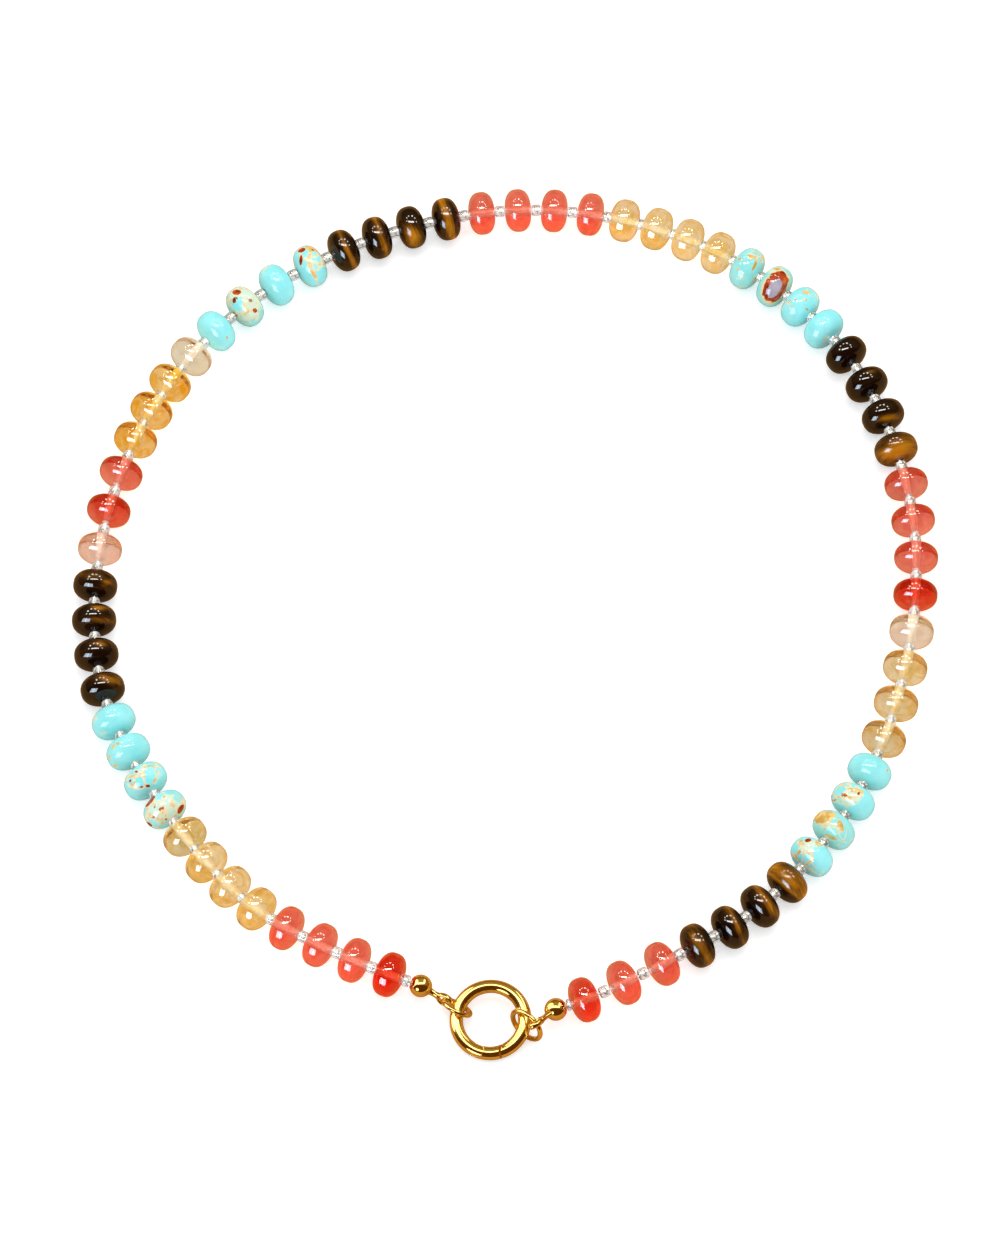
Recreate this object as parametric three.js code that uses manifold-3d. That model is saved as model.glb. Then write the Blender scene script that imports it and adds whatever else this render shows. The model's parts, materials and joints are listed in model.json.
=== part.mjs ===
// A gemstone bead necklace, lying flat and fastened by a spring-gate ring.
// Millimetres, +Z up. It lies on z = 0, with the clasp at the front, -Y.

import * as THREE from "three";
import { mergeVertices } from "three/addons/utils/BufferGeometryUtils.js";
import Module from "manifold-3d";

const wasm = await Module();
wasm.setup();

// Gemstone beads: smooth rondelles, drilled along the short way.
const beadWidth = 8;
const beadLength = 5;
const beadFace = 4.2; // width of the flat round the hole
const beadBand = 1.2; // length of the flat round the equator
const beadSides = 10;
const joinedBeadSides = 8; // of the beads that are joined along their thread
const holeWidth = 1.3;
const beadSway = 2.2; // degrees by which a bead stands askew on its thread

// Thread and the small glass beads between the gemstones.
const threadWidth = 0.6;
const threadSides = 4;
const threadInTip = 0.9; // the thread ends this far from the centre of a bead tip's ball
const glassWidth = 2.2;
const glassLength = 1.5;
const glassSides = 6;
const seat = 0.3; // gap that a glass bead keeps from the gemstones

// The loop as it lies, seen from above, from the left bead tip round to the right one.
const routePoints = [
  [-13.8, -70.3],
  [-19, -68.5],
  [-42.5, -56],
  [-59, -37],
  [-71, -13],
  [-72.5, 15],
  [-64, 44],
  [-47.5, 66],
  [-23, 81],
  [4, 87],
  [29, 83],
  [51, 70.5],
  [67, 50.5],
  [75, 21.5],
  [72.5, -9],
  [62.5, -35],
  [46, -55],
  [28, -66.5],
  [15, -73],
  [9.7, -74.9],
];
const firstBead = 5.8; // along the route, from the left tip's centre

// Runs of like beads along the route. pitch is the step from bead to bead.
const runs = [
  { stone: "red", beads: 4, pitch: 6.7 },
  { stone: "citrine", beads: 4, pitch: 6.35 },
  { stone: "turquoise", beads: 4, pitch: 6.6 },
  { stone: "tigers_eye", beads: 4, pitch: 7.0 },
  { stone: "red", beads: 3, pitch: 8.0 },
  { stone: "citrine", beads: 4, pitch: 6.7 },
  { stone: "turquoise", beads: 4, pitch: 7.4 },
  { stone: "tigers_eye", beads: 4, pitch: 6.75 },
  { stone: "red", beads: 4, pitch: 6.8 },
  { stone: "citrine", beads: 4, pitch: 6.25 },
  { stone: "turquoise", beads: 4, pitch: 6.35 },
  { stone: "tigers_eye", beads: 4, pitch: 7.25 },
  { stone: "red", beads: 4, pitch: 7.6 },
  { stone: "citrine", beads: 4, pitch: 7.4 },
  { stone: "turquoise", beads: 4, pitch: 6.6 },
  { stone: "tigers_eye", beads: 4, pitch: 6.7 },
  { stone: "red", beads: 3, pitch: 7.6 },
];

// Clasp: a ring of round wire with a sprung gate. Ring angles are counter-clockwise from +X.
const ringWidth = 14;
const ringWire = 2.2;
const ringCentre = new THREE.Vector3(-1.65, -76.2, 2.3);
const ringPitch = 10; // degrees: the jump rings under it lift its far side
const ringRoll = 4.5;
const hingeAngle = 247;
const slitAngle = 289;
const slitWidth = 0.3;
const tongueThickness = 0.7;
const hingeGap = 0.3;
const pinWidth = 0.7;

// Jump rings. azimuth and elevation turn the ring's own axis, in degrees.
const jumpRings = [
  { name: "jump_ring_left", width: 6, wire: 0.9, centre: [-7.5, -74, 2.6], azimuth: 56, elevation: 36 },
  { name: "jump_ring_right", width: 7, wire: 0.9, centre: [4.6, -77.7, 3.5], azimuth: 230, elevation: 12 },
];

// Bead tips: a drilled ball with a wire eye. height is the ball's, angle is where on its
// jump ring the eye hangs, and lean turns the eye about its neck. Both are in degrees.
const ballWidth = 4;
const eyeWidth = 3.0;
const eyeWire = 0.6;
const neckWidth = 0.9;
const tips = [
  { name: "bead_tip_left", height: 3.5, ring: 0, angle: 0, lean: 30 },
  { name: "bead_tip_right", height: 3.9, ring: 1, angle: 55, lean: 0 },
];

const colours = {
  red: { color: 0xd9482e, roughness: 0.12, metalness: 0 },
  citrine: { color: 0xefdda0, roughness: 0.1, metalness: 0 },
  turquoise: { color: 0x86dfdf, roughness: 0.2, metalness: 0 },
  tigers_eye: { color: 0x3a1a08, roughness: 0.15, metalness: 0 },
  thread: { color: 0xc9ccd0, roughness: 0.3, metalness: 0.2 },
  gold: { color: 0xe8b23c, roughness: 0.12, metalness: 1 },
};

const radians = THREE.MathUtils.degToRad;
const zAxis = new THREE.Vector3(0, 0, 1);

// ---- Solids ----

function solidFrom(geometry) {
  const plain = geometry.clone();
  plain.deleteAttribute("normal");
  plain.deleteAttribute("uv");
  const welded = mergeVertices(plain, 1e-4);
  return new wasm.Manifold(
    new wasm.Mesh({
      numProp: 3,
      vertProperties: Float32Array.from(welded.attributes.position.array),
      triVerts: Uint32Array.from(welded.index.array),
      tolerance: 1e-3,
    }),
  );
}

function geometryFrom(solid) {
  const mesh = solid.getMesh();
  const geometry = new THREE.BufferGeometry();
  geometry.setAttribute("position", new THREE.BufferAttribute(mesh.vertProperties, 3));
  geometry.setIndex(new THREE.BufferAttribute(mesh.triVerts, 1));
  geometry.computeVertexNormals();
  return geometry;
}

function joined(geometries) {
  return geometries.map(solidFrom).reduce((whole, piece) => whole.add(piece));
}

function tubeAlong(path, width, sides, steps) {
  const section = new THREE.Shape();
  section.absarc(0, 0, width / 2, 0, 2 * Math.PI);
  return new THREE.ExtrudeGeometry(section, {
    extrudePath: path,
    steps,
    curveSegments: sides / 2,
    bevelEnabled: false,
  });
}

// A frame whose Y runs along a direction and whose Z is as near upright as it can be.
function frameAlong(direction, position) {
  const y = direction.clone().normalize();
  const x = y.clone().cross(zAxis).normalize();
  const z = x.clone().cross(y);
  return new THREE.Matrix4().makeBasis(x, y, z).setPosition(position);
}

function namedMesh(name, geometry, look) {
  const mesh = new THREE.Mesh(geometry, new THREE.MeshStandardMaterial(colours[look]));
  mesh.name = name;
  return mesh;
}

// ---- The route of the thread ----

const route = new THREE.CatmullRomCurve3(routePoints.map(([x, y]) => new THREE.Vector3(x, y, 0)));
route.arcLengthDivisions = 4000;
const routeLength = route.getLength();
const axisHeight = beadWidth / 2;

// Every bead's place along the route, and its run.
function placeBeads() {
  const beads = [];
  let at = firstBead;
  runs.forEach((run, runIndex) => {
    for (let i = 0; i < run.beads; i += 1) {
      const before = beads.at(-1);
      if (before) {
        at += (run.pitch + runs[before.runIndex].pitch) / 2;
      }
      beads.push({ at, runIndex });
    }
  });
  return beads;
}

const beads = placeBeads();
const lastBead = beads.at(-1);

// The thread runs level through the beads and slopes down to the two bead tips.
function threadHeight(at) {
  const level = beads[0].at - beadLength / 2;
  const end = routeLength - lastBead.at - beadLength / 2;
  if (at < level) {
    return THREE.MathUtils.lerp(tips[0].height, axisHeight, at / level);
  }
  if (at > routeLength - end) {
    return THREE.MathUtils.lerp(tips[1].height, axisHeight, (routeLength - at) / end);
  }
  return axisHeight;
}

function threadPoint(at) {
  const point = route.getPointAt(THREE.MathUtils.clamp(at / routeLength, 0, 1));
  point.z = threadHeight(at);
  return point;
}

function threadDirection(at) {
  const step = 0.1;
  const from = Math.max(at - step, 0);
  const to = Math.min(at + step, routeLength);
  return threadPoint(to).sub(threadPoint(from)).normalize();
}

class ThreadStretch extends THREE.Curve {
  constructor(from, to) {
    super();
    this.from = from;
    this.to = to;
  }

  getPoint(t) {
    return threadPoint(THREE.MathUtils.lerp(this.from, this.to, t));
  }
}

// ---- Beads ----

// The outline turns about Y, with a flat facet straight down. The facets lie on the round
// bead, so that its width holds from flat to flat.
function rondelle(innerRadius, sides) {
  const radius = beadWidth / 2 / Math.cos(Math.PI / sides);
  const upper = [
    new THREE.Vector2(radius, beadBand / 2),
    new THREE.Vector2(beadFace / 2, beadLength / 2),
    new THREE.Vector2(innerRadius, beadLength / 2),
  ];
  const lower = upper.map((point) => new THREE.Vector2(point.x, -point.y)).reverse();
  const outline = [...lower, ...upper];
  if (innerRadius > 0) {
    outline.push(lower[0].clone());
  }
  return new THREE.LatheGeometry(outline, sides, Math.PI / sides);
}

// A bead lies level on its lowest facet, a little askew to the thread.
function beadFrame(bead, index) {
  const direction = threadDirection(bead.at);
  direction.z = 0;
  direction.applyAxisAngle(zAxis, radians(beadSway) * Math.sin(2.4 * index));
  const position = threadPoint(bead.at);
  position.z = axisHeight;
  return frameAlong(direction, position);
}

// ---- Thread with its glass beads ----

function glassBead(at, gap) {
  const length = Math.min(glassLength, gap - 2 * seat);
  const half = threadDirection(at).multiplyScalar(length / 2);
  const middle = threadPoint(at);
  const axis = new THREE.LineCurve3(middle.clone().sub(half), middle.clone().add(half));
  return tubeAlong(axis, glassWidth, glassSides, 1);
}

// A run's stretch of thread starts clear of the bead before it, or inside the left tip.
function stretchOf(runIndex) {
  const own = beads.filter((bead) => bead.runIndex === runIndex);
  const first = beads.indexOf(own[0]);
  const before = beads[first - 1];
  const isLast = runIndex === runs.length - 1;
  const from = before ? before.at + beadLength / 2 + seat : threadInTip;
  const to = isLast ? routeLength - threadInTip : own.at(-1).at + (beadLength - seat) / 2;
  const steps = own.length * (isLast || !before ? 4 : 1);
  const pieces = [tubeAlong(new ThreadStretch(from, to), threadWidth, threadSides, steps)];
  own.forEach((bead, i) => {
    const previous = beads[first + i - 1];
    const start = previous ? previous.at + beadLength / 2 : ballWidth / 2;
    const end = bead.at - beadLength / 2;
    pieces.push(glassBead((start + end) / 2, end - start));
  });
  if (isLast) {
    const start = lastBead.at + beadLength / 2;
    const end = routeLength - ballWidth / 2;
    pieces.push(glassBead((start + end) / 2, end - start));
  }
  return pieces;
}

// ---- Clasp ----

const ringRadius = (ringWidth - ringWire) / 2;

function onRing(degrees) {
  const angle = radians(degrees);
  return new THREE.Vector3(Math.cos(angle), Math.sin(angle), 0).multiplyScalar(ringRadius);
}

class RingArc extends THREE.Curve {
  constructor(from, to) {
    super();
    this.from = from;
    this.to = to;
  }

  getPoint(t) {
    return onRing(THREE.MathUtils.lerp(this.from, this.to, t));
  }
}

function ringWireArc(from, to, steps) {
  return solidFrom(tubeAlong(new RingArc(from, to), ringWire, 8, steps));
}

// A round disc or drum about the gate's hinge axis.
function hingeDrum(radius, height, sides) {
  const geometry = new THREE.CylinderGeometry(radius, radius, height, sides);
  geometry.rotateX(Math.PI / 2);
  const hinge = onRing(hingeAngle);
  return solidFrom(geometry.translate(hinge.x, hinge.y, 0));
}

function hingeBall() {
  const hinge = onRing(hingeAngle);
  const ball = new THREE.SphereGeometry(ringWire / 2, 8, 6);
  return solidFrom(ball.translate(hinge.x, hinge.y, 0));
}

const knuckleClear = ringWire / 2 + hingeGap;
const gateReach = onRing(slitAngle).distanceTo(onRing(hingeAngle));

// The ring forks round the gate's tongue, and a rivet crosses the fork.
function clawRing() {
  const slot = tongueThickness + 2 * hingeGap;
  return ringWireArc(slitAngle - 10, hingeAngle + 360, 25)
    .subtract(hingeDrum(gateReach + slitWidth, ringWire * 2, 36).intersect(swingSide()))
    .add(hingeBall())
    .subtract(hingeDrum(knuckleClear, slot, 12))
    .add(hingeDrum(pinWidth / 2, ringWire - 0.4, 8));
}

// Half of the space about the hinge: the side on which the gate lies.
function swingSide() {
  const size = 2 * ringWidth;
  const box = new THREE.BoxGeometry(size, size, size);
  const hinge = onRing(hingeAngle);
  const turn = new THREE.Matrix4().makeRotationZ(radians((hingeAngle + slitAngle) / 2 - 270));
  box.translate(size / 2, 0, 0);
  box.applyMatrix4(turn);
  return solidFrom(box.translate(hinge.x, hinge.y, 0));
}

// The gate's far end is cut round the hinge, so that it clears the ring as it swings in.
function gate() {
  const wire = ringWireArc(hingeAngle, slitAngle + 10, 4);
  const body = wire.intersect(hingeDrum(gateReach, ringWire * 2, 36));
  const tongue = body.add(hingeBall()).intersect(hingeDrum(knuckleClear + 0.2, tongueThickness, 16));
  return body
    .subtract(hingeDrum(knuckleClear, ringWire * 2, 12))
    .add(tongue)
    .subtract(hingeDrum(pinWidth / 2 + hingeGap, ringWire, 10));
}

function buildRing() {
  const group = new THREE.Group();
  group.position.copy(ringCentre);
  group.rotation.set(radians(ringPitch), -radians(ringRoll), 0);
  group.add(namedMesh("clasp_ring", geometryFrom(clawRing()), "gold"));
  group.add(namedMesh("clasp_gate", geometryFrom(gate()), "gold"));
  return group;
}

// The jump ring's own axis as a unit vector, and two more across it, the first one level.
function jumpRingAxes({ azimuth, elevation }) {
  const flat = Math.cos(radians(elevation));
  const axis = new THREE.Vector3(
    flat * Math.cos(radians(azimuth)),
    flat * Math.sin(radians(azimuth)),
    Math.sin(radians(elevation)),
  );
  const level = zAxis.clone().cross(axis).normalize();
  return { axis, level, other: axis.clone().cross(level) };
}

function buildJumpRing(ring) {
  const geometry = new THREE.TorusGeometry((ring.width - ring.wire) / 2, ring.wire / 2, 6, 16);
  const mesh = namedMesh(ring.name, geometry, "gold");
  mesh.position.set(...ring.centre);
  mesh.quaternion.setFromUnitVectors(zAxis, jumpRingAxes(ring).axis);
  return mesh;
}

// Where on its jump ring a tip's eye hangs, and the ring's direction there.
function eyeSeat(tip) {
  const ring = jumpRings[tip.ring];
  const { level, other } = jumpRingAxes(ring);
  const cos = Math.cos(radians(tip.angle));
  const sin = Math.sin(radians(tip.angle));
  const outward = level.clone().multiplyScalar(cos).addScaledVector(other, sin);
  const along = other.clone().multiplyScalar(cos).addScaledVector(level, -sin);
  const radius = (ring.width - ring.wire) / 2;
  const point = new THREE.Vector3(...ring.centre).addScaledVector(outward, radius);
  return { point, along };
}

// Ball, neck and eye are soldered into one piece, drilled for the end of the thread.
function buildTip(tip, threadEnd) {
  const ball = threadPoint(threadEnd);
  const toBeads = threadDirection(threadEnd).multiplyScalar(threadEnd === 0 ? 1 : -1);
  const { point, along } = eyeSeat(tip);
  const distance = point.distanceTo(ball);
  const out = point.clone().sub(ball).normalize();
  const across = along.clone().cross(out).normalize();
  const normal = out.clone().cross(across).applyAxisAngle(out, radians(tip.lean));
  const frame = new THREE.Matrix4().makeBasis(out.clone().cross(normal), out, normal);

  const eyeRadius = (eyeWidth - eyeWire) / 2;
  const eye = new THREE.TorusGeometry(eyeRadius, eyeWire / 2, 5, 12).translate(0, distance, 0);
  const neckFrom = ballWidth / 2 - 0.3;
  const neckLength = distance - eyeRadius - neckFrom;
  const neck = new THREE.CylinderGeometry(eyeWire / 2, neckWidth / 2, neckLength, 6);
  neck.translate(0, neckFrom + neckLength / 2, 0);
  const hole = new THREE.CylinderGeometry(holeWidth / 2, holeWidth / 2, ballWidth, 8);
  hole.translate(0, ballWidth / 2 + threadInTip - 0.4, 0);
  hole.applyMatrix4(frameAlong(toBeads, new THREE.Vector3()));

  const fittings = joined([eye, neck].map((piece) => piece.applyMatrix4(frame)));
  const sphere = solidFrom(new THREE.SphereGeometry(ballWidth / 2, 10, 6));
  const solid = sphere.subtract(solidFrom(hole)).add(fittings);
  const mesh = namedMesh(tip.name, geometryFrom(solid), "gold");
  mesh.position.copy(ball);
  return mesh;
}

// ---- The necklace ----

const isClear = (stone) => stone === "red" || stone === "citrine";

function buildStrand() {
  const group = new THREE.Group();
  const count = {};
  const next = (name) => {
    count[name] = (count[name] ?? 0) + 1;
    return `${name}_${count[name]}`;
  };
  runs.forEach((run, runIndex) => {
    const stretch = stretchOf(runIndex);
    beads.forEach((bead, index) => {
      if (bead.runIndex !== runIndex) {
        return;
      }
      const frame = beadFrame(bead, index);
      if (isClear(run.stone)) {
        const drilled = rondelle(holeWidth / 2, beadSides);
        const mesh = namedMesh(next(`${run.stone}_bead`), drilled, run.stone);
        mesh.applyMatrix4(frame);
        group.add(mesh);
      } else {
        stretch.push(rondelle(0, joinedBeadSides).applyMatrix4(frame));
      }
    });
    const name = next(isClear(run.stone) ? `${run.stone}_thread` : `${run.stone}_run`);
    const look = isClear(run.stone) ? "thread" : run.stone;
    group.add(namedMesh(name, geometryFrom(joined(stretch)), look));
  });
  return group;
}

const group = new THREE.Group();
group.add(buildStrand());
group.add(buildRing());
jumpRings.forEach((ring) => group.add(buildJumpRing(ring)));
group.add(buildTip(tips[0], 0));
group.add(buildTip(tips[1], routeLength));

// The origin lies under the middle of the whole necklace.
const box = new THREE.Box3().setFromObject(group, true);
const middle = box.getCenter(new THREE.Vector3());
group.position.set(-middle.x, -middle.y, -box.min.z);

export default group;
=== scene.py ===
import bisect
import json
import math
import random

import bmesh
import bpy
from mathutils import Matrix, Vector

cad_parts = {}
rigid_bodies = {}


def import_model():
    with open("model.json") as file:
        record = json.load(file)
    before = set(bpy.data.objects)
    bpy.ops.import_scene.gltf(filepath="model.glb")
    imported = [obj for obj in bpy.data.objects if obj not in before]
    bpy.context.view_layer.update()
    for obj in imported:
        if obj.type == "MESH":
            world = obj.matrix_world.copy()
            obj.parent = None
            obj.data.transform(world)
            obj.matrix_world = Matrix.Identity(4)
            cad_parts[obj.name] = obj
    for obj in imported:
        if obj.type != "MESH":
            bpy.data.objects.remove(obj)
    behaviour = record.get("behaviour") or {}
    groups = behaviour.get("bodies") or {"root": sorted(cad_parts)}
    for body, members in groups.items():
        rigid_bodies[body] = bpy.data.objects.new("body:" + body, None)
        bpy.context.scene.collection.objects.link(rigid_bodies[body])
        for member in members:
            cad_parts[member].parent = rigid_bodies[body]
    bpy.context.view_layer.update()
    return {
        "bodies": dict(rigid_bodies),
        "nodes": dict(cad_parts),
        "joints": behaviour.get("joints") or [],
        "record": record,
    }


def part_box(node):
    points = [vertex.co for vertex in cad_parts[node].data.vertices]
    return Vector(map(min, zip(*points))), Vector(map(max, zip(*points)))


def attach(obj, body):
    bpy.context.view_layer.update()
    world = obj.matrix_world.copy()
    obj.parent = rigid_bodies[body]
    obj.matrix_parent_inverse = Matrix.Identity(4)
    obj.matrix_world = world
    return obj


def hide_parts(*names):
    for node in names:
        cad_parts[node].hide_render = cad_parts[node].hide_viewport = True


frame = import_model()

# A gemstone bead necklace. Sizes are in millimetres until make_piece() turns them into metres.
MM = 0.001
UP = Vector((0, 0, 1))

# Beads, glass beads and thread.
BEAD_WIDTH = 8.0
BEAD_LENGTH = 5.0  # the solids' length, which sets the gaps
STONE_LENGTHS = {"red": 4.95, "citrine": 5.5, "turquoise": 5.2, "tigers_eye": 5.05}
BEAD_ROUNDNESS = 2.5  # exponent of the superellipse
BEAD_SIDES = 60
BEAD_ROWS = 36
BEAD_SWAY = 2.2  # degrees
SWAY_STEP = 2.4  # radians from bead to bead
HOLE_WIDTH = 1.15
HOLE_LIP = 0.12
GLASS_WIDTH = 2.15
GLASS_LENGTH = 1.7
GLASS_HOLE = 1.1
GLASS_LIP = 0.06
GLASS_SIDES = 20
GLASS_TILT = 4  # degrees at most
THREAD_WIDTH = 0.5
THREAD_SIDES = 10
THREAD_STEP = 0.45
THREAD_TWIST = 0.55  # radians a step
THREAD_IN_TIP = 0.9

# The loop as it lies, from the left bead tip round to the right one.
ROUTE = [
    (-13.8, -70.3), (-19, -68.5), (-42.5, -56), (-59, -37), (-71, -13),
    (-72.5, 15), (-64, 44), (-47.5, 66), (-23, 81), (4, 87),
    (29, 83), (51, 70.5), (67, 50.5), (75, 21.5), (72.5, -9),
    (62.5, -35), (46, -55), (28, -66.5), (15, -73), (9.7, -74.9),
]
FIRST_BEAD = 5.8
# The runs in the same order: stone, number of beads and pitch.
RUNS = [
    ("red", 4, 6.7), ("citrine", 4, 6.35), ("turquoise", 4, 6.6), ("tigers_eye", 4, 7.0),
    ("red", 3, 8.0), ("citrine", 4, 6.7), ("turquoise", 4, 7.4), ("tigers_eye", 4, 6.75),
    ("red", 4, 6.8), ("citrine", 4, 6.25), ("turquoise", 4, 6.35), ("tigers_eye", 4, 7.25),
    ("red", 4, 7.6), ("citrine", 4, 7.4), ("turquoise", 4, 6.6), ("tigers_eye", 4, 6.7),
    ("red", 3, 7.6),
]

# Clasp, jump rings and bead tips.
RING_WIDTH = 14.3
RING_WIRE = 2.35
RING_CENTRE = Vector((-1.65, -76.2, 2.3))
# Angles are in degrees.
RING_PITCH = 10
RING_ROLL = 4.5
HINGE_RADIUS = 5.9
HINGE_ANGLE = 247
SLIT_ANGLE = 289
SLIT_WIDTH = 0.3
JUMP_WIRE = 0.9
# The azimuth and elevation are those of the ring's axis.
JUMP_RINGS = {
    "jump_ring_left": {"width": 6, "centre": (-7.5, -74, 2.6), "azimuth": 56, "elevation": 36},
    "jump_ring_right": {"width": 7, "centre": (4.6, -77.7, 3.5), "azimuth": 230, "elevation": 12},
}
BALL_WIDTH = 4.0
TIPS = {
    "bead_tip_left": {"height": 3.5, "ring": "jump_ring_left", "angle": 0, "lean": 30},
    "bead_tip_right": {"height": 3.9, "ring": "jump_ring_right", "angle": 55, "lean": 0},
}

# The camera looks down at the loop from the front.
CAMERA_TILT = 27
CAMERA_DISTANCE = 1000.0
CAMERA_LENS = 160.128
CAMERA_SENSOR = 36.0


# ---- Meshes ----

def quads(rows, columns, rows_close, columns_close):
    """Faces over a grid of points. Where a direction closes, its last points join its first."""
    faces = []
    for i in range(rows if rows_close else rows - 1):
        j = (i + 1) % rows
        for k in range(columns if columns_close else columns - 1):
            m = (k + 1) % columns
            faces.append((i * columns + k, i * columns + m, j * columns + m, j * columns + k))
    return faces


def caps(rows, columns):
    """The two end faces of a tube of points."""
    return [tuple(range(columns)), tuple(range((rows - 1) * columns, rows * columns))]


def lathe(profile, sides, closed=True):
    """Turns (radius, y) points about Y. A closed profile ends where it starts."""
    verts = [
        Vector((radius * cos, y, radius * sin))
        for cos, sin in circle(1.0, sides)
        for radius, y in profile
    ]
    return verts, quads(sides, len(profile), True, closed)


def sweep(points, section, closed=False, normal=None, twist=0.0):
    """Sweeps an outline of (side, normal) points along a path. twist is in radians a step."""
    steps = len(points)
    verts = []
    up = normal
    for i, point in enumerate(points):
        ahead = points[(i + 1) % steps] if closed or i + 1 < steps else points[i]
        behind = points[i - 1] if closed or i > 0 else points[i]
        along = (ahead - behind).normalized()
        if up is None:
            up = along.orthogonal().normalized()
        up = (up - along * up.dot(along)).normalized()
        side = along.cross(up)
        cos, sin = math.cos(twist * i), math.sin(twist * i)
        for u, v in section:
            verts.append(point + side * (u * cos - v * sin) + up * (u * sin + v * cos))
    faces = quads(steps, len(section), closed, True)
    return verts, faces if closed else faces + caps(steps, len(section))


def circle(radius, sides, squash=1.0):
    turns = [2 * math.pi * i / sides for i in range(sides)]
    return [(radius * math.cos(a), radius * squash * math.sin(a)) for a in turns]


def moved(shape, matrix):
    verts, faces = shape
    return [matrix @ v for v in verts], faces


def together(shapes):
    verts, faces = [], []
    for more_verts, more_faces in shapes:
        start = len(verts)
        verts += more_verts
        faces += [tuple(start + i for i in face) for face in more_faces]
    return verts, faces


def mesh_of(name, shape):
    """A mesh whose double points are merged and whose faces look outward."""
    mesh = bpy.data.meshes.new(name)
    mesh.from_pydata([tuple(v) for v in shape[0]], [], shape[1])
    work = bmesh.new()
    work.from_mesh(mesh)
    bmesh.ops.remove_doubles(work, verts=work.verts, dist=1e-5)
    bmesh.ops.recalc_face_normals(work, faces=work.faces)
    work.to_mesh(mesh)
    work.free()
    return mesh


def sharpen(mesh, degrees):
    """Smooth shading with sharp edges where faces meet at more than this angle."""
    work = bmesh.new()
    work.from_mesh(mesh)
    for face in work.faces:
        face.smooth = True
    for edge in work.edges:
        if len(edge.link_faces) == 2:
            edge.smooth = edge.calc_face_angle(0) < math.radians(degrees)
    work.to_mesh(mesh)
    work.free()


def combine(shape, *steps):
    """Joins solids to a shape and cuts them from it. A step is (operation, other shape)."""
    whole = add_object("whole", mesh_of("whole", shape))
    for operation, other in steps:
        tool = add_object("tool", mesh_of("tool", other))
        modifier = whole.modifiers.new("cut", "BOOLEAN")
        modifier.operation = operation
        modifier.solver = "EXACT"
        modifier.object = tool
        result = bpy.data.meshes.new_from_object(
            whole.evaluated_get(bpy.context.evaluated_depsgraph_get())
        )
        whole.modifiers.clear()
        whole.data = result
        bpy.data.objects.remove(tool)
    verts = [v.co.copy() for v in whole.data.vertices]
    faces = [tuple(p.vertices) for p in whole.data.polygons]
    bpy.data.objects.remove(whole)
    return verts, faces


def add_object(name, data):
    made = bpy.data.objects.new(name, data)
    bpy.context.scene.collection.objects.link(made)
    return made


def make_piece(name, shape, matrix, materials, body, nodes, angle=40):
    """Makes an object in metres at its place in the row frame. It rides on a CAD body."""
    mesh = mesh_of(name, shape)
    sharpen(mesh, angle)
    mesh.transform(Matrix.Diagonal((MM, MM, MM, 1)) @ matrix)
    for material in materials:
        mesh.materials.append(material)
    piece = add_object(name, mesh)
    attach(piece, body)
    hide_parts(*nodes)
    return piece


def frame_along(direction, position):
    """Y along a direction and Z as near upright as it can be."""
    y = direction.normalized()
    x = y.cross(UP).normalized()
    return Matrix.Translation(position) @ Matrix((x, y, x.cross(y))).transposed().to_4x4()


# ---- The route ----

def centripetal(p0, p1, p2, p3, t):
    """A point between p1 and p2 on a centripetal Catmull-Rom curve."""
    d0, d1, d2 = ((b - a).length ** 0.5 for a, b in ((p0, p1), (p1, p2), (p2, p3)))
    start = ((p1 - p0) / d0 - (p2 - p0) / (d0 + d1) + (p2 - p1) / d1) * d1
    end = ((p2 - p1) / d1 - (p3 - p1) / (d1 + d2) + (p3 - p2) / d2) * d1
    t2, t3 = t * t, t * t * t
    return (
        p1 * (2 * t3 - 3 * t2 + 1)
        + p2 * (3 * t2 - 2 * t3)
        + start * (t3 - 2 * t2 + t)
        + end * (t3 - t2)
    )


def sample_route():
    """Close points along the route, and how far along it each one is."""
    steps = 200
    points = [Vector((x, y, 0)) for x, y in ROUTE]
    ends = [points[0] * 2 - points[1]] + points + [points[-1] * 2 - points[-2]]
    line = [
        centripetal(*ends[i:i + 4], k / steps)
        for i in range(len(points) - 1)
        for k in range(steps)
    ]
    line.append(points[-1])
    reach = [0.0]
    for a, b in zip(line, line[1:]):
        reach.append(reach[-1] + (b - a).length)
    return line, reach


LINE, REACH = sample_route()
ROUTE_LENGTH = REACH[-1]


def route_point(at):
    """The point this far along the route."""
    at = min(max(at, 0), ROUTE_LENGTH)
    high = min(bisect.bisect_right(REACH, at), len(REACH) - 1)
    low = high - 1
    share = (at - REACH[low]) / (REACH[high] - REACH[low])
    return LINE[low].lerp(LINE[high], share)


def place_beads():
    """Each bead's place along the route. Between two runs the pitch is the mean of theirs."""
    beads, at = [], FIRST_BEAD
    for run, (stone, count, pitch) in enumerate(RUNS):
        for _ in range(count):
            if beads:
                at += (pitch + RUNS[beads[-1]["run"]][2]) / 2
            beads.append({"at": at, "run": run, "stone": stone, "number": len(beads) + 1})
    return beads


BEADS = place_beads()
AXIS_HEIGHT = BEAD_WIDTH / 2


def thread_point(at):
    """The thread runs level through the beads and slopes down to the two bead tips."""
    point = route_point(at)
    start = BEADS[0]["at"] - BEAD_LENGTH / 2
    end = ROUTE_LENGTH - BEADS[-1]["at"] - BEAD_LENGTH / 2
    left, right = TIPS["bead_tip_left"]["height"], TIPS["bead_tip_right"]["height"]
    point.z = AXIS_HEIGHT
    if at < start:
        point.z = left + (AXIS_HEIGHT - left) * at / start
    elif at > ROUTE_LENGTH - end:
        point.z = right + (AXIS_HEIGHT - right) * (ROUTE_LENGTH - at) / end
    return point


def thread_direction(at):
    low, high = max(at - 0.1, 0), min(at + 0.1, ROUTE_LENGTH)
    return (thread_point(high) - thread_point(low)).normalized()


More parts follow.
